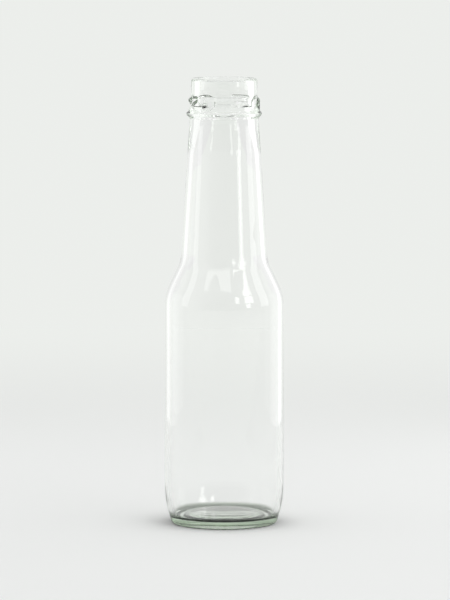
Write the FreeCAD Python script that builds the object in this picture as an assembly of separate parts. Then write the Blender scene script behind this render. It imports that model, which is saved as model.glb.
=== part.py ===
"""Round glass bottle for oil or sauce, with a deep lug finish for a twist-off closure.

One piece of blown clear glass. The frame is +Z up, and the origin is the centre of the circle that
the bottle stands on. Sizes are in millimetres and angles in degrees.

The outside and the inside are one closed outline of straight runs and tangent arcs, turned about Z.
The lugs are ridges lofted round the finish, and the ring that the bottle stands on is notched.
"""

import FreeCAD, Part
import math
import os

# Overall form
OVERALL_HEIGHT = 234.4
BODY_DIAMETER = 62.5
SHOULDER_DROP = 113.5  # from the rim to where the body's side and the shoulder's slope would meet
SHOULDER_ANGLE = 25.6  # slope of the shoulder, from the vertical
SHOULDER_RADIUS = 25.5
NECK_ROOT_RADIUS = 17.5
NECK_STEP = 0.95  # how far the neck's top stands out from the finish's wall
NECK_ANGLE = 3.67  # taper of the neck's side, from the vertical
COLLAR_HEIGHT = 3.7  # upright stretch between the neck's taper and the bead
COLLAR_RADIUS = 30.0

# Heel and foot
HEEL_HEIGHT = 9.8  # where the body's side and the heel's slope would meet
HEEL_ANGLE = 21.0  # slope of the heel, from the vertical
HEEL_RADIUS = 48.0
FOOT_CORNER_RADIUS = 1.6
FOOT_WIDTH = 3.8  # from the heel's foot to the foot of the push-up
FOOT_INNER_RADIUS = 1.0
PUSH_UP_HEIGHT = 2.8
PUSH_UP_ANGLE = 50.0  # slope of the push-up's edge, from the vertical
PUSH_UP_RADIUS = 6.0

# Notches that cross the foot
NOTCH_COUNT = 48
NOTCH_TOOL_RADIUS = 1.2
NOTCH_DEPTH = 0.5
NOTCH_LAND = 0.9  # plain ring left between the push-up and the notches
NOTCH_OVERRUN = 2.5  # how far the tool reaches past the foot

# Finish, from the rim down. What stands out is measured from the finish's wall
RIM_DIAMETER = 34.6
RIM_RADIUS = 1.2
FINISH_DEPTH = 20.6  # from the rim to the bead's underside
BEAD_PROJECTION = 2.4
BEAD_HEIGHT = 3.6
BEAD_RADIUS = 0.8
BEAD_UNDERSIDE_ANGLE = 42.0  # slope of the bead's underside, from the horizontal
BEAD_TOP_ANGLE = 38.0  # slope of the bead's upper side, from the horizontal
SEAT_PROJECTION = 1.4  # raised seat between the bead and the wall
SEAT_HEIGHT = 0.6
SEAT_SLOPE_HEIGHT = 2.05
SEAT_RADIUS = 0.5

# Lugs: each is a step that is solid down to the bead, then a free ridge that thins to its nose
LUG_COUNT = 3
LUG_FIRST_ANGLE = -41.5  # where the first lug starts, from the front towards the right
LUG_SPAN = 87.5
LUG_PROJECTION = 1.45
LUG_STEP_DROP = 11.5  # from the rim to the lug's upper edge at its step
LUG_TOP_DROP = 9.1  # the same, where the lug has climbed to its level stretch
LUG_CLIMB_SPAN = 22.0
LUG_UPPER_FLANK = 2.0  # height of the flank over the crest
LUG_SOLID_SPAN = 13.0  # stretch over which the lug is solid down to the bead
LUG_OPENING_SPAN = 12.0  # stretch over which its underside then lifts off the bead
LUG_UNDERSIDE_DROP = 13.75  # from the rim to the crest's lower edge
LUG_LOWER_FLANK = 0.9  # height of the flank under the crest
LUG_LEAD_START = 50.0  # where the underside starts to rise towards the nose
LUG_LEAD_RISE = 3.9
LUG_LEAD_FLANK = 2.7  # height of the lower flank near the nose
LUG_STEP_SPAN = 3.5  # stretch over which the step grows out of the wall
LUG_NOSE_SPAN = 5.0  # stretch over which the nose dies into the wall
LUG_CREST_RADIUS = 0.25
LUG_SINK = 0.8  # how far the lug's root is sunk in the glass before the two are joined
LUG_END_SINK = 0.1  # how far the crest is sunk at the lug's two ends
LUG_END_SECTIONS = 3
LUG_RIDGE_SECTIONS = 12

# Inside
FINISH_WALL = 3.9
BORE_RIM_RADIUS = 0.9
BORE_DEPTH = 24.0
BORE_FLARE_LENGTH = 14.0  # from the bore's foot to where the neck has its own wall
BORE_RADIUS = 24.0
NECK_WALL = 2.7
BODY_WALL = 2.3
INNER_SHOULDER_RADIUS = 23.0
INNER_NECK_ROOT_RADIUS = 20.0
INNER_HEEL_LIFT = 4.6  # how much higher the heel's slope starts inside
INNER_HEEL_RADIUS = 48.0
INNER_CORNER_INSET = 1.44  # from the heel's foot to the corner round the inner floor
INNER_CORNER_RADIUS = 3.0
BASE_THICKNESS = 3.1
FLOOR_FALL = 2.1  # how far the inner floor falls from its middle to its corner
FLOOR_FLAT_RADIUS = 11.0
FLOOR_RADIUS = 60.0

WALL = RIM_DIAMETER / 2
AXIS_FOOT = FreeCAD.Vector(0, 0, 0)
AXIS = FreeCAD.Vector(0, 0, 1)
FRONT_ANGLE = -90.0  # the front faces -Y
FULL_TURN = 360.0
ROUNDED_SHARE = 0.98  # the most that the two roundings on a straight run may take of it


def run(angle):
    """Sideways run for each millimetre of height, at an angle from the vertical."""
    return math.tan(math.radians(angle))


def ease(share):
    """Smooth step from 0 to 1."""
    share = min(max(share, 0.0), 1.0)
    return share * share * (3 - 2 * share)


def point(radius, height):
    """A point of the half section, which lies in the XZ plane."""
    return FreeCAD.Vector(radius, 0, height)


def rounded_path(corners, closed=False):
    """Edges through (radius, height, rounding) corners, each corner rounded by a tangent arc.

    A rounding that the straight runs beside it have no room for is made smaller.
    """
    places = [point(r, z) for r, z, _ in corners]
    halves = [math.pi / 2]
    for before, here, after in zip(places, places[1:], places[2:]):
        halves.append((before - here).getAngle(after - here) / 2)
    halves.append(math.pi / 2)
    reaches = [corner[2] / math.tan(half) for corner, half in zip(corners, halves)]
    rooms = []
    for index in range(len(places) - 1):
        length = (places[index + 1] - places[index]).Length
        taken = reaches[index] + reaches[index + 1]
        rooms.append(min(1.0, ROUNDED_SHARE * length / max(taken, length)))
    edges = []
    last = places[0]
    for index in range(1, len(places) - 1):
        share = min(rooms[index - 1], rooms[index])
        here = places[index]
        back = (places[index - 1] - here).normalize()
        ahead = (places[index + 1] - here).normalize()
        rounding = corners[index][2] * share
        centre = here + (back + ahead).normalize() * (rounding / math.sin(halves[index]))
        first = here + back * (reaches[index] * share)
        middle = centre + (here - centre).normalize() * rounding
        edges.append(Part.LineSegment(last, first).toShape())
        last = here + ahead * (reaches[index] * share)
        edges.append(Part.Arc(first, middle, last).toShape())
    edges.append(Part.LineSegment(last, places[-1]).toShape())
    if closed:
        edges.append(Part.LineSegment(places[-1], places[0]).toShape())
    return edges


def crossing(radius_a, height_a, run_a, radius_b, height_b, run_b):
    """Where two sloped sides meet. Each loses its run in radius for each millimetre of height."""
    height = (radius_a - radius_b + run_a * height_a - run_b * height_b) / (run_a - run_b)
    return radius_a - run_a * (height - height_a), height


def heel_foot():
    """Radius at which the heel's slope would reach the ground."""
    return BODY_DIAMETER / 2 - HEEL_HEIGHT * run(HEEL_ANGLE)


def bead_top():
    """Height of the bead's upper side, where the seat stands on it."""
    return OVERALL_HEIGHT - FINISH_DEPTH + BEAD_HEIGHT


def outer_corners():
    """Corners of the outline from the push-up's middle, round the foot and up to the rim."""
    body = BODY_DIAMETER / 2
    foot = heel_foot()
    inner_foot = foot - FOOT_WIDTH
    push_up = inner_foot - PUSH_UP_HEIGHT * run(PUSH_UP_ANGLE)
    shoulder_height = OVERALL_HEIGHT - SHOULDER_DROP
    neck = WALL + NECK_STEP
    bead = WALL + BEAD_PROJECTION
    seat = WALL + SEAT_PROJECTION
    bead_foot = OVERALL_HEIGHT - FINISH_DEPTH
    taper_top = bead_foot - COLLAR_HEIGHT
    neck_root = crossing(body, shoulder_height, run(SHOULDER_ANGLE), neck, taper_top, run(NECK_ANGLE))
    return [
        (0, PUSH_UP_HEIGHT, 0),
        (push_up, PUSH_UP_HEIGHT, PUSH_UP_RADIUS),
        (inner_foot, 0, FOOT_INNER_RADIUS),
        (foot, 0, FOOT_CORNER_RADIUS),
        (body, HEEL_HEIGHT, HEEL_RADIUS),
        (body, shoulder_height, SHOULDER_RADIUS),
        (*neck_root, NECK_ROOT_RADIUS),
        (neck, taper_top, COLLAR_RADIUS),
        (neck, bead_foot, BEAD_RADIUS / 2),
        (bead, bead_foot + (bead - neck) * run(BEAD_UNDERSIDE_ANGLE), BEAD_RADIUS),
        (bead, bead_top() - (bead - seat) * run(BEAD_TOP_ANGLE), BEAD_RADIUS / 2),
        (seat, bead_top(), SEAT_RADIUS / 2),
        (seat, bead_top() + SEAT_HEIGHT, SEAT_RADIUS),
        (WALL, bead_top() + SEAT_HEIGHT + SEAT_SLOPE_HEIGHT, SEAT_RADIUS),
        (WALL, OVERALL_HEIGHT, RIM_RADIUS),
    ]


def inner_corners():
    """Corners of the outline from the rim, down the inside and to the middle of the floor."""
    body = BODY_DIAMETER / 2
    bore = WALL - FINISH_WALL
    inner_body = body - BODY_WALL
    floor = PUSH_UP_HEIGHT + BASE_THICKNESS
    shoulder_height = OVERALL_HEIGHT - SHOULDER_DROP
    taper_top = OVERALL_HEIGHT - FINISH_DEPTH - COLLAR_HEIGHT
    bore_foot = OVERALL_HEIGHT - BORE_DEPTH
    flare_foot = bore_foot - BORE_FLARE_LENGTH
    inner_taper = WALL + NECK_STEP - NECK_WALL / math.cos(math.radians(NECK_ANGLE))
    inner_slope = body - BODY_WALL / math.cos(math.radians(SHOULDER_ANGLE))
    neck_root = crossing(inner_slope, shoulder_height, run(SHOULDER_ANGLE),
                         inner_taper, taper_top, run(NECK_ANGLE))
    shoulder = crossing(inner_body, 0, 0, inner_slope, shoulder_height, run(SHOULDER_ANGLE))
    return [
        (bore, OVERALL_HEIGHT, BORE_RIM_RADIUS),
        (bore, bore_foot, BORE_RADIUS),
        (inner_taper - run(NECK_ANGLE) * (flare_foot - taper_top), flare_foot, BORE_RADIUS),
        (*neck_root, INNER_NECK_ROOT_RADIUS),
        (*shoulder, INNER_SHOULDER_RADIUS),
        (inner_body, HEEL_HEIGHT + INNER_HEEL_LIFT, INNER_HEEL_RADIUS),
        (heel_foot() - INNER_CORNER_INSET, floor - FLOOR_FALL, INNER_CORNER_RADIUS),
        (FLOOR_FLAT_RADIUS, floor, FLOOR_RADIUS),
        (0, floor, 0),
    ]


def turned_glass():
    """The turned glass, without its lugs and its notches."""
    outline = rounded_path(outer_corners() + inner_corners(), closed=True)
    return Part.Face(Part.Wire(outline)).revolve(AXIS_FOOT, AXIS, FULL_TURN)


def lug_section(turn, top, foot, lower_flank, growth):
    """Section of a lug at an angle round the finish.

    Where its height has no room for both flanks, the lug's crest is lower.
    """
    fill = min((top - foot) / (LUG_UPPER_FLANK + lower_flank), 1.0)
    crest = WALL - LUG_END_SINK + (LUG_PROJECTION * fill + LUG_END_SINK) * growth
    high = top - LUG_UPPER_FLANK * fill
    low = foot + lower_flank * fill
    middle = (low + high) / 2
    half_crest = max((high - low) / 2, LUG_CREST_RADIUS)
    root = WALL - LUG_SINK
    sunk = LUG_SINK / LUG_PROJECTION
    corners = [
        (root, foot - lower_flank * sunk, 0),
        (crest, middle - half_crest, LUG_CREST_RADIUS),
        (crest, middle + half_crest, LUG_CREST_RADIUS),
        (root, top + LUG_UPPER_FLANK * sunk, 0),
    ]
    section = Part.Wire(rounded_path(corners, closed=True))
    section.rotate(AXIS_FOOT, AXIS, FRONT_ANGLE + turn)
    return section


def lug_angles():
    """Angles of a lug's sections from its step, close together at its two ends."""
    ridge = LUG_SPAN - LUG_STEP_SPAN - LUG_NOSE_SPAN
    angles = [LUG_STEP_SPAN * index / LUG_END_SECTIONS for index in range(LUG_END_SECTIONS)]
    angles += [LUG_STEP_SPAN + ridge * index / LUG_RIDGE_SECTIONS for index in range(LUG_RIDGE_SECTIONS)]
    nose = LUG_SPAN - LUG_NOSE_SPAN
    angles += [nose + LUG_NOSE_SPAN * index / LUG_END_SECTIONS for index in range(LUG_END_SECTIONS + 1)]
    return angles


def lug(start):
    """One lug: a step on the bead, then a free ridge whose underside rises to its nose."""
    base = bead_top() - LUG_SINK
    underside = OVERALL_HEIGHT - LUG_UNDERSIDE_DROP
    sections = []
    for angle in lug_angles():
        climb = 1 - (1 - min(angle / LUG_CLIMB_SPAN, 1.0)) ** 2
        top = OVERALL_HEIGHT - LUG_STEP_DROP + (LUG_STEP_DROP - LUG_TOP_DROP) * climb
        lead = max(angle - LUG_LEAD_START, 0) / (LUG_SPAN - LUG_LEAD_START)
        opening = ease((angle - LUG_SOLID_SPAN) / LUG_OPENING_SPAN)
        edge = base + (underside + LUG_LEAD_RISE * lead - base) * opening
        flank = LUG_LOWER_FLANK + (LUG_LEAD_FLANK - LUG_LOWER_FLANK) * min(2 * lead, 1.0)
        growth = min(ease(angle / LUG_STEP_SPAN), ease((LUG_SPAN - angle) / LUG_NOSE_SPAN))
        sections.append(lug_section(start + angle, top, edge - flank, flank, growth))
    return Part.makeLoft(sections, True, True)


def notches():
    """The notches that cross the foot, as one tool."""
    first = heel_foot() - FOOT_WIDTH + NOTCH_LAND
    last = heel_foot() + NOTCH_OVERRUN
    notch = Part.makeCylinder(NOTCH_TOOL_RADIUS, last - first,
                              point(first, NOTCH_DEPTH - NOTCH_TOOL_RADIUS),
                              FreeCAD.Vector(1, 0, 0))
    copies = []
    for index in range(NOTCH_COUNT):
        copy = notch.copy()
        copy.rotate(AXIS_FOOT, AXIS, (index + 0.5) * FULL_TURN / NOTCH_COUNT)
        copies.append(copy)
    return Part.makeCompound(copies)


def bottle():
    """The whole bottle as one solid."""
    lugs = [lug(LUG_FIRST_ANGLE + index * FULL_TURN / LUG_COUNT) for index in range(LUG_COUNT)]
    whole = turned_glass().fuse(lugs).cut(notches())
    return whole.Solids[0]


shape = bottle()
print("volume in cubic centimetres", round(shape.Volume / 1000, 1), "valid", shape.isValid())
os.makedirs("parts", exist_ok=True)
shape.exportStep("parts/bottle.step")
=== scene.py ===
"""Empty round bottle of clear pressed glass, dressed and lit in a small pale studio.

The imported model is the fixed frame. The glass is modelled here again in full, as one closed mesh:
a half section is spun like glass in a mould, then the lugs are raised on the finish and the notches
are cut into the foot. Lengths are in millimetres in the bottle's classes, and in metres in the
studio and in Blender.
"""

import logging
import math
from dataclasses import dataclass, field
from enum import Enum
from typing import Union

import bpy
from mathutils import Matrix, Vector


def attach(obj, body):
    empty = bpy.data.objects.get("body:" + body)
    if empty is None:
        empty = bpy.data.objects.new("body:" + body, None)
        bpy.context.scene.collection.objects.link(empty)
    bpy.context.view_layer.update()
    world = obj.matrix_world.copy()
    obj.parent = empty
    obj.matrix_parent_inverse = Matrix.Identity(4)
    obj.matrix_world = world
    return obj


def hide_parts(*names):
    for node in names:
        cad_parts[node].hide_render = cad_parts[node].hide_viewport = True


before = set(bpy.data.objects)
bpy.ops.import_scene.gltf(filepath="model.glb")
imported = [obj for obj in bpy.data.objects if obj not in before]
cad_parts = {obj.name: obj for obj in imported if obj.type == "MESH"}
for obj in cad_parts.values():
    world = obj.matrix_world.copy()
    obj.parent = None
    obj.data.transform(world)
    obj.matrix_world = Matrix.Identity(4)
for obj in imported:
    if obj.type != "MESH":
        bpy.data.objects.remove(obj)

LOG = logging.getLogger("bottle")
MM = 0.001
FULL_TURN = 2 * math.pi
BODY = "root"
NODE = "bottle"
SLACK = 0.01            # mm: how far rounding may move a vertex off its surface
SHORTEST_RUN = 1e-5     # mm: two points of a section that are closer are one
MERGE_DISTANCE = 2e-6   # m
NOTCHED_HEIGHT = 1.5    # mm: the notches end below this height
NOTCHED_MARGIN = 1.0    # mm: fine steps start this far inside the foot's ring
LUG_MARGIN = 0.5        # mm: fine steps end this far above the lugs

Feed = Union[bpy.types.NodeSocket, float, tuple[float, ...]]


def run(angle: float) -> float:
    """Return the sideways run for each millimetre of height, at an angle from the vertical."""
    return math.tan(math.radians(angle))


def ease(share: float) -> float:
    """Return a smooth step from 0 to 1."""
    share = min(max(share, 0.0), 1.0)
    return share * share * (3 - 2 * share)


class Sight(Enum):
    """What sees a sheet of paper."""

    ANY_RAY = "any ray"
    DIRECT = "rays that come straight from the camera or through the glass, but no reflection"


def feed(socket: bpy.types.NodeSocket, value: Feed) -> None:
    """Feed a node's input.

    Args:
        socket: The input.
        value: The output that it is linked to, or its constant.
    """
    if isinstance(value, bpy.types.NodeSocket):
        socket.id_data.links.new(value, socket)
    else:
        socket.default_value = value


def math_node(tree: bpy.types.NodeTree, operation: str, *values: Feed,
              clamp: bool = False) -> bpy.types.NodeSocket:
    """Add a Math node.

    Args:
        tree: The tree that the node goes into.
        operation: What it does.
        values: What feeds its inputs, in order.
        clamp: Whether the result is kept between 0 and 1.

    Returns:
        The result's output.
    """
    node = tree.nodes.new("ShaderNodeMath")
    node.operation = operation
    node.use_clamp = clamp
    for socket, value in zip(node.inputs, values):
        feed(socket, value)
    return node.outputs["Value"]


def vector_node(tree: bpy.types.NodeTree, operation: str, *values: Feed) -> bpy.types.Node:
    """Add a Vector Math node.

    Args:
        tree: The tree that the node goes into.
        operation: What it does.
        values: What feeds its vector inputs, in order.

    Returns:
        The node.
    """
    node = tree.nodes.new("ShaderNodeVectorMath")
    node.operation = operation
    for socket, value in zip(node.inputs, values):
        feed(socket, value)
    return node


def range_node(tree: bpy.types.NodeTree, value: Feed, zone: tuple[float, float],
               ends: tuple[float, float] = (0.0, 1.0),
               smooth: bool = False) -> bpy.types.NodeSocket:
    """Add a Map Range node, which goes from one value to another across a zone.

    Args:
        tree: The tree that the node goes into.
        value: What is compared with the zone.
        zone: Where the result starts and stops changing.
        ends: The result before and after the zone.
        smooth: Whether it eases in and out.

    Returns:
        The result's output.
    """
    node = tree.nodes.new("ShaderNodeMapRange")
    if smooth:
        node.interpolation_type = "SMOOTHSTEP"
    feed(node.inputs["Value"], value)
    for name, number in zip(("From Min", "From Max", "To Min", "To Max"), (*zone, *ends)):
        node.inputs[name].default_value = number
    return node.outputs["Result"]


def mix_node(tree: bpy.types.NodeTree, share: bpy.types.NodeSocket, first: bpy.types.NodeSocket,
             second: bpy.types.NodeSocket) -> bpy.types.NodeSocket:
    """Add a Mix Shader node.

    Args:
        tree: The tree that the node goes into.
        share: The second shader's share.
        first: The shader at share 0.
        second: The shader at share 1.

    Returns:
        The mixed shader's output.
    """
    node = tree.nodes.new("ShaderNodeMixShader")
    feed(node.inputs["Fac"], share)
    feed(node.inputs[1], first)
    feed(node.inputs[2], second)
    return node.outputs["Shader"]


@dataclass(frozen=True)
class Corner:
    """A corner of the half section: its radius and height, and the arc that rounds it."""

    radius: float
    height: float
    rounding: float = 0.0


@dataclass(frozen=True)
class Outline:
    """A half section made of straight runs and tangent arcs."""

    corners: tuple[Corner, ...]
    arc_step: float = 7.0
    longest_run: float = 12.0

    def points(self) -> list[tuple[float, float]]:
        """Work out the points that the half section is drawn through.

        Returns:
            Radius and height of each point, from the foot of the axis to the inner floor's middle.
        """
        first = self.corners[0]
        found = [(first.radius, first.height)]
        for before, here, after in zip(self.corners, self.corners[1:], self.corners[2:]):
            found.extend(self._arc(before, here, after))
        last = self.corners[-1]
        found.append((last.radius, last.height))
        return self._split(found)

    def _arc(self, before: Corner, here: Corner, after: Corner) -> list[tuple[float, float]]:
        """Return the points of the arc that rounds one corner."""
        place = Vector((here.radius, here.height))
        back = (Vector((before.radius, before.height)) - place).normalized()
        ahead = (Vector((after.radius, after.height)) - place).normalized()
        half = back.angle(ahead) / 2
        if here.rounding == 0:
            return [(here.radius, here.height)]
        centre = place + (back + ahead).normalized() * here.rounding / math.sin(half)
        start = place + back * here.rounding / math.tan(half) - centre
        turn = start.angle_signed(place + ahead * here.rounding / math.tan(half) - centre)
        steps = max(2, math.ceil(abs(math.degrees(turn)) / self.arc_step))
        points = []
        for index in range(steps + 1):
            spoke = start.copy()
            spoke.rotate(Matrix.Rotation(-turn * index / steps, 2))
            points.append(tuple(centre + spoke))
        return points

    def _split(self, points: list[tuple[float, float]]) -> list[tuple[float, float]]:
        """Return the points with more of them along each long run."""
        split = [points[0]]
        for start, end in zip(points, points[1:]):
            length = math.dist(start, end)
            if length < SHORTEST_RUN:
                continue
            count = max(1, math.ceil(length / self.longest_run))
            for index in range(1, count + 1):
                share = index / count
                split.append((start[0] + (end[0] - start[0]) * share,
                              start[1] + (end[1] - start[1]) * share))
        return split


@dataclass(frozen=True)
class Lugs:
    """The ridges that a twist-off closure grips, in the angle and depth of the finish's wall.

    Each starts as a steep step that is solid down to the bead, climbs to its level top edge, opens
    underneath into a free ridge, and thins out from below into a rounded nose.
    """

    count: int = 3
    first_angle: float = -41.5
    projection: float = 1.45
    span: float = 87.5
    step_drop: float = 11.5
    top_drop: float = 9.1
    climb_span: float = 22.0
    upper_flank: float = 2.0
    solid_span: float = 13.0
    opening_span: float = 12.0
    underside_drop: float = 13.75
    lower_flank: float = 0.9
    lead_start: float = 50.0
    lead_rise: float = 3.9
    lead_flank: float = 2.7
    step_span: float = 3.5
    nose_span: float = 5.0

    def height_over_wall(self, angle: float, drop: float, floor_drop: float) -> float:
        """Find how far the glass stands out from the wall at one place.

        Args:
            angle: Angle round the finish in degrees, from the front towards the right.
            drop: Depth below the rim.
            floor_drop: Depth below the rim of the bead that the lugs grow from.

        Returns:
            The lug's height over the wall there, which is 0 where there is none.
        """
        along = (angle - self.first_angle) % (360 / self.count)
        if along > self.span:
            return 0.0
        climb = 1 - (1 - min(along / self.climb_span, 1.0)) ** 2
        top = self.step_drop + (self.top_drop - self.step_drop) * climb
        lead = max(along - self.lead_start, 0.0) / (self.span - self.lead_start)
        opening = ease((along - self.solid_span) / self.opening_span)
        underside = self.underside_drop - self.lead_rise * lead
        edge = floor_drop + (underside - floor_drop) * opening
        flank = self.lower_flank + (self.lead_flank - self.lower_flank) * min(lead * 2, 1.0)
        growth = min(ease(along / self.step_span), ease((self.span - along) / self.nose_span))
        upper = ease((drop - top) / self.upper_flank)
        lower = ease((edge + flank - drop) / flank)
        return self.projection * growth * min(upper, lower)


@dataclass(frozen=True)
class Knurling:
    """The notches that cross the ring the bottle stands on."""

    count: int = 48
    depth: float = 0.5
    tool_radius: float = 1.2
    land: float = 0.9

    def lift(self, angle: float, radius: float, height: float, inner: float) -> float:
        """Find how far a notch lifts the foot's surface at one place.

        Args:
            angle: Angle round the foot in radians.
            radius: Distance from the axis.
            height: Height of the plain foot there.
            inner: Radius where the notches start.

        Returns:
            The rise of the surface, which is 0 between the notches.
        """
        pitch = FULL_TURN / self.count
        offset = (angle % pitch - pitch / 2) * radius
        if radius < inner or abs(offset) >= self.tool_radius:
            return 0.0
        roof = self.depth - self.tool_radius + math.sqrt(self.tool_radius ** 2 - offset ** 2)
        return max(roof - height, 0.0)


@dataclass(frozen=True)
class ClearGlass:
    """Flint glass: colourless where it is thin, faintly green where light runs along it.

    The foot's ring is painted darker and greener: partly its thick glass's own green, partly
    painted shade. Heights are in metres.
    """

    index: float = 1.52
    absorbed: tuple[float, float, float] = (0.83, 0.957, 0.80)
    density: float = 11.0
    let_through: float = 0.94
    let_through_foot: float = 0.12
    foot_zone: tuple[float, float] = (0.006, 0.014)
    # painted shade, together with the thick glass's own green, on the foot's ring
    ring_green_and_shade: tuple[float, float, float] = (0.50, 0.57, 0.48)
    ring_zone: tuple[float, float] = (0.0032, 0.0060)
    wave_size: float = 55.0
    wave_stretch: tuple[float, float, float] = (1.0, 1.0, 0.12)
    wave_depth: float = 0.00004

    def material(self) -> bpy.types.Material:
        """Build the glass.

        Returns:
            A material that bends light, tints long paths and casts a light shadow.
        """
        material = bpy.data.materials.new("clear_glass")
        material.use_nodes = True
        tree = material.node_tree
        tree.nodes.clear()
        place = tree.nodes.new("ShaderNodeTexCoord").outputs["Object"]
        heights = tree.nodes.new("ShaderNodeSeparateXYZ")
        feed(heights.inputs["Vector"], place)
        glass = tree.nodes.new("ShaderNodeBsdfPrincipled")
        glass.inputs["Roughness"].default_value = 0.0
        glass.inputs["IOR"].default_value = self.index
        glass.inputs["Transmission Weight"].default_value = 1.0
        # the base colour carries painted shade and green on the foot's ring, white above it
        feed(glass.inputs["Base Color"], self.green_and_shade_ring(tree, heights.outputs["Z"]))
        feed(glass.inputs["Normal"], self.waves(tree, place))
        clear = tree.nodes.new("ShaderNodeBsdfTransparent")
        feed(clear.inputs["Color"], range_node(tree, heights.outputs["Z"], self.foot_zone,
                                               (self.let_through_foot, self.let_through)))
        paths = tree.nodes.new("ShaderNodeLightPath")
        unbent = math_node(tree, "MAXIMUM", paths.outputs["Is Shadow Ray"],
                           paths.outputs["Is Diffuse Ray"])
        tint = tree.nodes.new("ShaderNodeVolumeAbsorption")
        tint.inputs["Color"].default_value = (*self.absorbed, 1)
        tint.inputs["Density"].default_value = self.density
        output = tree.nodes.new("ShaderNodeOutputMaterial")
        feed(output.inputs["Surface"],
             mix_node(tree, unbent, glass.outputs["BSDF"], clear.outputs["BSDF"]))
        feed(output.inputs["Volume"], tint.outputs["Volume"])
        return material

    def green_and_shade_ring(self, tree: bpy.types.NodeTree,
                  height: bpy.types.NodeSocket) -> bpy.types.NodeSocket:
        """Darken the thick ring at the foot: partly the thick glass's own green, partly painted
        shade.

        Args:
            tree: The material's nodes.
            height: The output that gives the height.

        Returns:
            The colour's output, which is white above the ring.
        """
        ring = range_node(tree, height, self.ring_zone, (1.0, 0.0))
        lost = tuple(part - 1.0 for part in self.ring_green_and_shade)
        return vector_node(tree, "MULTIPLY_ADD", ring, lost, (1, 1, 1)).outputs["Vector"]

    def waves(self, tree: bpy.types.NodeTree,
              place: bpy.types.NodeSocket) -> bpy.types.NodeSocket:
        """Ripple the surface a little, in long upright waves.

        Args:
            tree: The material's nodes.
            place: The output that gives the place on the piece.

        Returns:
            The normal's output.
        """
        stretch = tree.nodes.new("ShaderNodeMapping")
        stretch.inputs["Scale"].default_value = self.wave_stretch
        noise = tree.nodes.new("ShaderNodeTexNoise")
        noise.inputs["Scale"].default_value = self.wave_size
        noise.inputs["Detail"].default_value = 1.0
        bump = tree.nodes.new("ShaderNodeBump")
        bump.inputs["Strength"].default_value = 1.0
        bump.inputs["Distance"].default_value = self.wave_depth
        feed(stretch.inputs["Vector"], place)
        feed(noise.inputs["Vector"], stretch.outputs["Vector"])
        feed(bump.inputs["Height"], noise.outputs["Fac"])
        return bump.outputs["Normal"]


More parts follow.
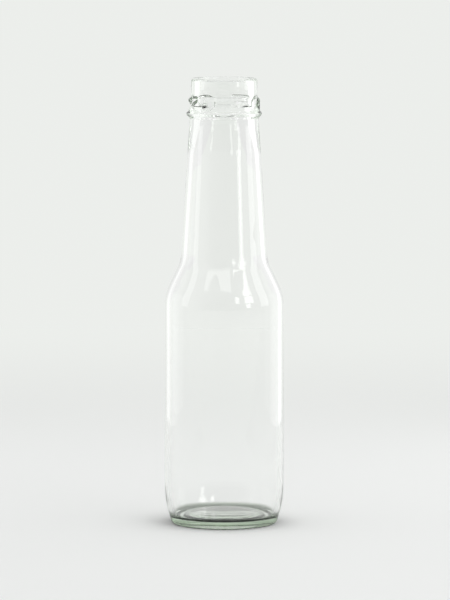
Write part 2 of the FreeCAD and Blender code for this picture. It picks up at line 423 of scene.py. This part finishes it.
@dataclass
class Bottle:
    """The bottle: one piece of glass from its knurled foot to its rim."""

    height: float = 234.4
    body_diameter: float = 62.5
    shoulder_drop: float = 113.5
    shoulder_angle: float = 25.6
    shoulder_radius: float = 25.5
    neck_root_radius: float = 17.5
    neck_step: float = 0.95
    neck_angle: float = 3.67
    collar_height: float = 3.7
    collar_radius: float = 30.0
    heel_height: float = 9.8
    heel_angle: float = 21.0
    heel_radius: float = 48.0
    foot_corner_radius: float = 1.6
    foot_width: float = 3.8
    foot_inner_radius: float = 1.0
    push_up_height: float = 2.8
    push_up_angle: float = 50.0
    push_up_radius: float = 6.0
    rim_diameter: float = 34.6
    rim_radius: float = 1.2
    finish_depth: float = 20.6
    bead_projection: float = 2.4
    bead_height: float = 3.6
    bead_radius: float = 0.8
    bead_underside_angle: float = 42.0
    bead_top_angle: float = 38.0
    seat_projection: float = 1.4
    seat_height: float = 0.6
    seat_slope_height: float = 2.05
    seat_radius: float = 0.5
    finish_wall: float = 3.9
    bore_rim_radius: float = 0.9
    bore_depth: float = 24.0
    bore_flare_length: float = 14.0
    bore_radius: float = 24.0
    neck_wall: float = 2.7
    body_wall: float = 2.3
    inner_shoulder_radius: float = 23.0
    inner_neck_root_radius: float = 20.0
    base_thickness: float = 3.1
    floor_fall: float = 2.1
    floor_flat_radius: float = 11.0
    floor_radius: float = 60.0
    inner_heel_lift: float = 4.6
    inner_heel_radius: float = 48.0
    inner_corner_radius: float = 3.0
    inner_corner_inset: float = 1.44
    segments: int = 384
    fine_run: float = 0.3
    lugs: Lugs = field(default_factory=Lugs)
    knurling: Knurling = field(default_factory=Knurling)
    glass: ClearGlass = field(default_factory=ClearGlass)

    @property
    def wall(self) -> float:
        """Radius of the finish's plain wall."""
        return self.rim_diameter / 2

    @property
    def foot(self) -> float:
        """Radius where the heel's slope would meet the ground."""
        return self.body_diameter / 2 - self.heel_height * run(self.heel_angle)

    @property
    def seat_foot(self) -> float:
        """Height of the bead's upper edge."""
        return self.height - self.finish_depth + self.bead_height

    @staticmethod
    def crossing(first: tuple[float, float, float],
                 second: tuple[float, float, float]) -> tuple[float, float]:
        """Find where two sloped sides meet.

        Args:
            first: Radius, height and run of the first side. The run is what it loses in radius
                for each millimetre of height.
            second: The same of the second side.

        Returns:
            Radius and height of the meeting point.
        """
        height = first[0] - second[0] + first[2] * first[1] - second[2] * second[1]
        height /= first[2] - second[2]
        return first[0] - first[2] * (height - first[1]), height

    def outline(self) -> Outline:
        """Lay out the half section.

        Returns:
            The outline from the push-up's middle, up the outside and down the inside to the floor.
        """
        body = self.body_diameter / 2
        wall = self.wall
        neck = wall + self.neck_step
        bead = wall + self.bead_projection
        seat = wall + self.seat_projection
        bore = wall - self.finish_wall
        shoulder = self.height - self.shoulder_drop
        bead_foot = self.height - self.finish_depth
        taper_top = bead_foot - self.collar_height
        inner_foot = self.foot - self.foot_width
        push_up = inner_foot - self.push_up_height * run(self.push_up_angle)
        underside = bead_foot + (bead - neck) * run(self.bead_underside_angle)
        upper_side = self.seat_foot - (bead - seat) * run(self.bead_top_angle)
        seat_top = self.seat_foot + self.seat_height
        slope = run(self.shoulder_angle)
        taper = run(self.neck_angle)
        root = self.crossing((body, shoulder, slope), (neck, taper_top, taper))
        floor = self.push_up_height + self.base_thickness
        inner_body = body - self.body_wall
        bore_foot = self.height - self.bore_depth
        flare_foot = bore_foot - self.bore_flare_length
        inner_taper = neck - self.neck_wall / math.cos(math.radians(self.neck_angle))
        inner_slope = body - self.body_wall / math.cos(math.radians(self.shoulder_angle))
        inner_root = self.crossing((inner_slope, shoulder, slope), (inner_taper, taper_top, taper))
        inner_shoulder = self.crossing((inner_body, 0, 0), (inner_slope, shoulder, slope))
        return Outline((
            Corner(0, self.push_up_height),
            Corner(push_up, self.push_up_height, self.push_up_radius),
            Corner(inner_foot, 0, self.foot_inner_radius),
            Corner(self.foot, 0, self.foot_corner_radius),
            Corner(body, self.heel_height, self.heel_radius),
            Corner(body, shoulder, self.shoulder_radius),
            Corner(*root, self.neck_root_radius),
            Corner(neck, taper_top, self.collar_radius),
            Corner(neck, bead_foot, self.bead_radius / 2),
            Corner(bead, underside, self.bead_radius),
            Corner(bead, upper_side, self.bead_radius / 2),
            Corner(seat, self.seat_foot, self.seat_radius / 2),
            Corner(seat, seat_top, self.seat_radius),
            Corner(wall, seat_top + self.seat_slope_height, self.seat_radius),
            Corner(wall, self.height, self.rim_radius),
            Corner(bore, self.height, self.bore_rim_radius),
            Corner(bore, bore_foot, self.bore_radius),
            Corner(inner_taper - taper * (flare_foot - taper_top), flare_foot, self.bore_radius),
            Corner(*inner_root, self.inner_neck_root_radius),
            Corner(*inner_shoulder, self.inner_shoulder_radius),
            Corner(inner_body, self.heel_height + self.inner_heel_lift, self.inner_heel_radius),
            Corner(self.foot - self.inner_corner_inset, floor - self.floor_fall,
                   self.inner_corner_radius),
            Corner(self.floor_flat_radius, floor, self.floor_radius),
            Corner(0, floor),
        ))

    def section(self) -> list[tuple[float, float]]:
        """Return the half section's points, close together where the lugs and the notches are."""
        points = self.outline().points()
        lug_low = self.seat_foot
        lug_high = self.height - self.lugs.top_drop + LUG_MARGIN
        foot_inside = self.foot - self.foot_width - NOTCHED_MARGIN
        fine = [points[0]]
        for start, end in zip(points, points[1:]):
            outside = min(start[0], end[0]) > self.wall - SLACK
            middle = (start[1] + end[1]) / 2
            near_lugs = outside and (lug_low < middle < lug_high or
                                     start[1] < lug_high < end[1])
            near_foot = middle < NOTCHED_HEIGHT and start[0] > foot_inside
            length = math.dist(start, end)
            count = max(1, math.ceil(length / self.fine_run)) if near_lugs or near_foot else 1
            for index in range(1, count + 1):
                share = index / count
                fine.append((start[0] + (end[0] - start[0]) * share,
                             start[1] + (end[1] - start[1]) * share))
        return fine

    def draw_section(self) -> bpy.types.Object:
        """Draw the half section as a chain of edges.

        Returns:
            The object that holds the chain, still in edit mode.
        """
        points = self.section()
        bpy.ops.object.select_all(action="DESELECT")
        bpy.ops.mesh.primitive_plane_add(size=MM, location=(0, 0, points[0][1] * MM))
        piece = bpy.context.object
        bpy.ops.object.transform_apply(location=True, rotation=True, scale=True)
        bpy.ops.object.mode_set(mode="EDIT")
        bpy.ops.mesh.select_all(action="SELECT")
        bpy.ops.mesh.merge(type="CENTER")
        for start, end in zip(points, points[1:]):
            step = ((end[0] - start[0]) * MM, 0, (end[1] - start[1]) * MM)
            bpy.ops.mesh.extrude_vertices_move(TRANSFORM_OT_translate={"value": step})
        return piece

    def blow(self) -> bpy.types.Object:
        """Spin the half section into a closed shell.

        Returns:
            The plain glass, without its lugs and its notches.
        """
        piece = self.draw_section()
        bpy.ops.mesh.select_all(action="SELECT")
        bpy.ops.mesh.spin(steps=self.segments, angle=FULL_TURN, center=(0, 0, 0), axis=(0, 0, 1))
        bpy.ops.mesh.select_all(action="SELECT")
        bpy.ops.mesh.remove_doubles(threshold=MERGE_DISTANCE)
        bpy.ops.mesh.normals_make_consistent(inside=False)
        bpy.ops.object.mode_set(mode="OBJECT")
        return piece

    def press(self, piece: bpy.types.Object) -> None:
        """Raise the lugs on the finish and cut the notches into the foot, as the mould does.

        Args:
            piece: The plain glass.
        """
        floor_drop = self.height - self.seat_foot
        lug_top = self.height - self.lugs.top_drop
        inner = self.foot - self.foot_width + self.knurling.land
        for vertex in piece.data.vertices:
            x, y, z = (value / MM for value in vertex.co)
            radius = math.hypot(x, y)
            if radius > self.wall - SLACK and self.seat_foot - SLACK < z < lug_top:
                angle = math.degrees(math.atan2(x, -y))
                lug = self.lugs.height_over_wall(angle, self.height - z, floor_drop)
                raised = max(radius, self.wall + lug)
                vertex.co.x *= raised / radius
                vertex.co.y *= raised / radius
            elif z < NOTCHED_HEIGHT and radius > inner:
                lift = self.knurling.lift(math.atan2(y, x), radius, z, inner)
                vertex.co.z += lift * MM

    def build(self) -> bpy.types.Object:
        """Model and dress the bottle.

        Returns:
            The finished piece of glass.
        """
        piece = self.blow()
        piece.name = "bottle_glass"
        piece.data.name = "bottle_glass"
        self.press(piece)
        bpy.ops.object.select_all(action="DESELECT")
        piece.select_set(True)
        bpy.context.view_layer.objects.active = piece
        bpy.ops.object.shade_smooth()
        piece.data.materials.clear()
        piece.data.materials.append(self.glass.material())
        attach(piece, BODY)
        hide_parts(NODE)
        return piece


@dataclass(frozen=True)
class Softbox:
    """A diffused lamp that faces the bottle's axis: its place, its size and how bright it looks.

    The bearing goes from the front towards the right, in degrees.
    """

    name: str
    bearing: float
    distance: float
    foot: float
    width: float
    height: float
    glow: float
    seen_through_glass: bool = True

    def place(self) -> bpy.types.Object:
        """Set the lamp up.

        Returns:
            The lamp.
        """
        bearing = math.radians(self.bearing)
        outward = Vector((math.sin(bearing), -math.cos(bearing), 0))
        centre = outward * self.distance + Vector((0, 0, self.foot + self.height / 2))
        bpy.ops.object.light_add(type="AREA", location=centre)
        lamp = bpy.context.object
        lamp.name = self.name
        lamp.data.shape = "RECTANGLE"
        lamp.data.size = self.width
        lamp.data.size_y = self.height
        lamp.data.energy = self.glow * math.pi * self.width * self.height
        lamp.rotation_euler = (-outward).to_track_quat("-Z", "Y").to_euler()
        lamp.visible_camera = False
        lamp.visible_transmission = self.seen_through_glass
        return lamp


@dataclass
class Studio:
    """A pale sweep of paper, soft lamps and the camera."""

    paper: tuple[float, float, float] = (0.82, 0.83, 0.82)
    paper_roughness: float = 0.9
    paper_gloss: float = 0.1
    backdrop: tuple[float, float, float] = (0.84, 0.858, 0.833)
    backdrop_zone: tuple[float, float] = (0.1, 0.9)
    shaded_zone: tuple[float, float] = (0.034, 0.045)
    shaded_offset: float = 0.012
    shaded_paper: float = 0.35
    sweep_depth: float = 1.6
    sweep_front: float = 0.3
    sweep_width: float = 0.5
    sweep_height: float = 2.4
    sweep_radius: float = 0.8
    sweep_steps: int = 16
    table_front: float = 3.0
    table_width: float = 4.0
    table_drop: float = 0.0005
    sky: float = 0.80
    front_sky: float = 0.35
    front_zone: tuple[float, float] = (-0.95, -0.35)
    camera_distance: float = 2.5021
    camera_height: float = 0.3918
    camera_side: float = 0.00045
    camera_pitch: float = 6.249
    lens: float = 287.54
    sensor: float = 36.0
    camera_reach: float = 50.0
    bounces: int = 32
    softboxes: tuple[Softbox, ...] = (
        Softbox("left_back_softbox", -126.0, 0.4, 0.0, 0.36, 0.9, 0.22),
        Softbox("right_back_softbox", 126.0, 0.4, 0.0, 0.36, 0.9, 0.36),
        Softbox("left_side_softbox", -82.0, 1.6, 0.15, 0.45, 1.6, 1.3,
                seen_through_glass=False),
        Softbox("right_side_softbox", 86.0, 1.6, 0.15, 0.58, 1.6, 1.9,
                seen_through_glass=False),
        Softbox("low_window", 49.0, 2.0, 0.17, 0.30, 0.25, 3.0),
        Softbox("window_foot", 52.0, 1.6, 0.42, 0.50, 0.45, 3.0),
        Softbox("window_top", 52.0, 1.6, 0.93, 0.50, 0.42, 3.0),
        Softbox("skylight", 37.0, 1.4, 1.35, 0.50, 0.60, 3.5),
        Softbox("small_window", 27.0, 1.6, 0.45, 0.22, 0.50, 2.5),
        Softbox("front_skylight", -16.0, 2.0, 1.9, 2.6, 1.2, 0.9),
    )

    def paper_material(self, name: str, sight: Sight) -> bpy.types.Material:
        """Return matt paper, which looks evenly pale where it turns up into the backdrop.

        Args:
            name: The material's name.
            sight: What sees the paper.

        Returns:
            The material. It can't be seen from its underside.
        """
        material = bpy.data.materials.new(name)
        material.use_nodes = True
        tree = material.node_tree
        place = tree.nodes.new("ShaderNodeTexCoord").outputs["Object"]
        paths = tree.nodes.new("ShaderNodeLightPath")
        paper = tree.nodes["Principled BSDF"]
        paper.inputs["Roughness"].default_value = self.paper_roughness
        paper.inputs["Specular IOR Level"].default_value = self.paper_gloss
        feed(paper.inputs["Base Color"], self.paper_colour(tree, place, paths))
        pale = tree.nodes.new("ShaderNodeEmission")
        pale.inputs["Color"].default_value = (*self.backdrop, 1)
        nothing = tree.nodes.new("ShaderNodeBsdfTransparent")
        sheet = mix_node(tree, self.backdrop_share(tree, place, paths),
                         paper.outputs["BSDF"], pale.outputs["Emission"])
        shown = mix_node(tree, self.hidden_share(tree, sight, paths),
                         sheet, nothing.outputs["BSDF"])
        feed(tree.nodes["Material Output"].inputs["Surface"], shown)
        return material

    def paper_colour(self, tree: bpy.types.NodeTree, place: bpy.types.NodeSocket,
                     paths: bpy.types.Node) -> bpy.types.NodeSocket:
        """Colour the paper, which looks shaded under the foot where the glass shows it.

        Args:
            tree: The material's nodes.
            place: The output that gives the place on the sheet.
            paths: The Light Path node.

        Returns:
            The colour's output.
        """
        moved = vector_node(tree, "ADD", place, (0, self.shaded_offset, 0)).outputs["Vector"]
        radius = vector_node(tree, "LENGTH", moved).outputs["Value"]
        shade = range_node(tree, radius, self.shaded_zone, (self.shaded_paper, 1.0))
        in_glass = math_node(tree, "MAXIMUM", paths.outputs["Is Transmission Ray"],
                             paths.outputs["Is Glossy Ray"])
        colour = vector_node(tree, "SCALE", self.paper)
        feed(colour.inputs["Scale"], math_node(tree, "POWER", shade, in_glass))
        return colour.outputs["Vector"]

    def backdrop_share(self, tree: bpy.types.NodeTree, place: bpy.types.NodeSocket,
                       paths: bpy.types.Node) -> bpy.types.NodeSocket:
        """Find how far the paper has turned into the evenly pale backdrop.

        Args:
            tree: The material's nodes.
            place: The output that gives the place on the sheet.
            paths: The Light Path node.

        Returns:
            The share's output, which is 0 for the rays that light and shade other things.
        """
        depths = tree.nodes.new("ShaderNodeSeparateXYZ")
        feed(depths.inputs["Vector"], place)
        turned = range_node(tree, depths.outputs["Y"], self.backdrop_zone, smooth=True)
        lighting = math_node(tree, "MAXIMUM", paths.outputs["Is Diffuse Ray"],
                             paths.outputs["Is Shadow Ray"])
        return math_node(tree, "SUBTRACT", turned, lighting, clamp=True)

    @staticmethod
    def hidden_share(tree: bpy.types.NodeTree, sight: Sight,
                     paths: bpy.types.Node) -> bpy.types.NodeSocket:
        """Find where the paper is hidden: from below, and from what doesn't see it.

        Args:
            tree: The material's nodes.
            sight: What sees the paper.
            paths: The Light Path node.

        Returns:
            The share's output, which is 1 where the paper is hidden.
        """
        below = tree.nodes.new("ShaderNodeNewGeometry").outputs["Backfacing"]
        if sight is Sight.ANY_RAY:
            return below
        direct = math_node(tree, "ADD", paths.outputs["Is Transmission Ray"],
                           paths.outputs["Is Camera Ray"])
        others = math_node(tree, "SUBTRACT", 1.0, direct, clamp=True)
        return math_node(tree, "MAXIMUM", below, others)

    @staticmethod
    def lay_sheet(name: str, width: float, front: float, back: float) -> bpy.types.Object:
        """Lay a flat sheet of paper at the foot's height.

        Args:
            name: The sheet's name.
            width: Its width.
            front: Its front edge's Y.
            back: Its back edge's Y.

        Returns:
            The sheet.
        """
        bpy.ops.object.select_all(action="DESELECT")
        bpy.ops.mesh.primitive_plane_add(size=1.0, location=(0, 0, 0))
        sheet = bpy.context.object
        sheet.name = name
        bpy.ops.transform.resize(value=(width, back - front, 1))
        bpy.ops.transform.translate(value=(0, (front + back) / 2, 0))
        bpy.ops.object.transform_apply(location=True, rotation=True, scale=True)
        return sheet

    def lay_sweep(self, paper: bpy.types.Material) -> bpy.types.Object:
        """Lay the narrow sweep: a floor that curves up into the backdrop.

        Args:
            paper: Its material.

        Returns:
            The sweep.
        """
        sweep = self.lay_sheet("paper_sweep", self.sweep_width, -self.sweep_front,
                               self.sweep_depth)
        bpy.ops.object.mode_set(mode="EDIT")
        bpy.ops.mesh.select_all(action="DESELECT")
        bpy.ops.object.mode_set(mode="OBJECT")
        for edge in sweep.data.edges:
            ends = [sweep.data.vertices[index].co.y for index in edge.vertices]
            edge.select = min(ends) > 0
        bpy.ops.object.mode_set(mode="EDIT")
        bpy.ops.mesh.select_mode(type="EDGE")
        bpy.ops.mesh.spin(steps=self.sweep_steps, angle=math.pi / 2, axis=(-1, 0, 0),
                          center=(0, self.sweep_depth, self.sweep_radius))
        rise = (0, 0, self.sweep_height)
        bpy.ops.mesh.extrude_region_move(TRANSFORM_OT_translate={"value": rise})
        bpy.ops.object.mode_set(mode="OBJECT")
        bpy.ops.object.shade_smooth()
        sweep.data.materials.append(paper)
        return sweep

    def lay_tables(self, paper: bpy.types.Material) -> None:
        """Lay the wide table in front, and the one just below it that reaches all round.

        Args:
            paper: The front table's material.
        """
        table = self.lay_sheet("paper_table", self.table_width, -self.table_front,
                               -self.sweep_front)
        table.data.materials.append(paper)
        sides = self.lay_sheet("paper_sides", self.table_width, -self.table_front,
                               self.table_front)
        bpy.ops.transform.translate(value=(0, 0, -self.table_drop))
        bpy.ops.object.transform_apply(location=True, rotation=True, scale=True)
        sides.data.materials.append(self.paper_material("side_paper", Sight.DIRECT))

    def light(self) -> None:
        """Hang the lamps and set the even light that fills the room."""
        for softbox in self.softboxes:
            softbox.place()
        world = bpy.data.worlds.new("studio_air")
        world.use_nodes = True
        tree = world.node_tree
        background = tree.nodes["Background"]
        background.inputs["Color"].default_value = (1, 1, 1, 1)
        depths = tree.nodes.new("ShaderNodeSeparateXYZ")
        feed(depths.inputs["Vector"], tree.nodes.new("ShaderNodeTexCoord").outputs["Generated"])
        feed(background.inputs["Strength"],
             range_node(tree, depths.outputs["Y"], self.front_zone, (self.front_sky, self.sky),
                        smooth=True))
        bpy.context.scene.world = world

    def set_camera(self) -> bpy.types.Object:
        """Stand the camera in front of the bottle, a little above it.

        Returns:
            The camera.
        """
        place = (self.camera_side, -self.camera_distance, self.camera_height)
        bpy.ops.object.camera_add(location=place,
                                  rotation=(math.radians(90 - self.camera_pitch), 0, 0))
        camera = bpy.context.object
        camera.data.lens = self.lens
        camera.data.sensor_width = self.sensor
        camera.data.clip_end = self.camera_reach
        bpy.context.scene.camera = camera
        return camera

    def build(self) -> None:
        """Set up the whole studio."""
        paper = self.paper_material("sweep_paper", Sight.ANY_RAY)
        self.lay_sweep(paper)
        self.lay_tables(paper)
        self.light()
        self.set_camera()
        scene = bpy.context.scene
        scene.view_settings.view_transform = "Standard"
        scene.cycles.max_bounces = self.bounces
        scene.cycles.transmission_bounces = self.bounces
        scene.cycles.glossy_bounces = self.bounces


def main() -> None:
    """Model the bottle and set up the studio."""
    logging.basicConfig(level=logging.INFO, format="%(name)s: %(message)s")
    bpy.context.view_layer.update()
    piece = Bottle().build()
    LOG.info("%s: %d faces", piece.name, len(piece.data.polygons))
    Studio().build()


if __name__ == "__main__":
    main()
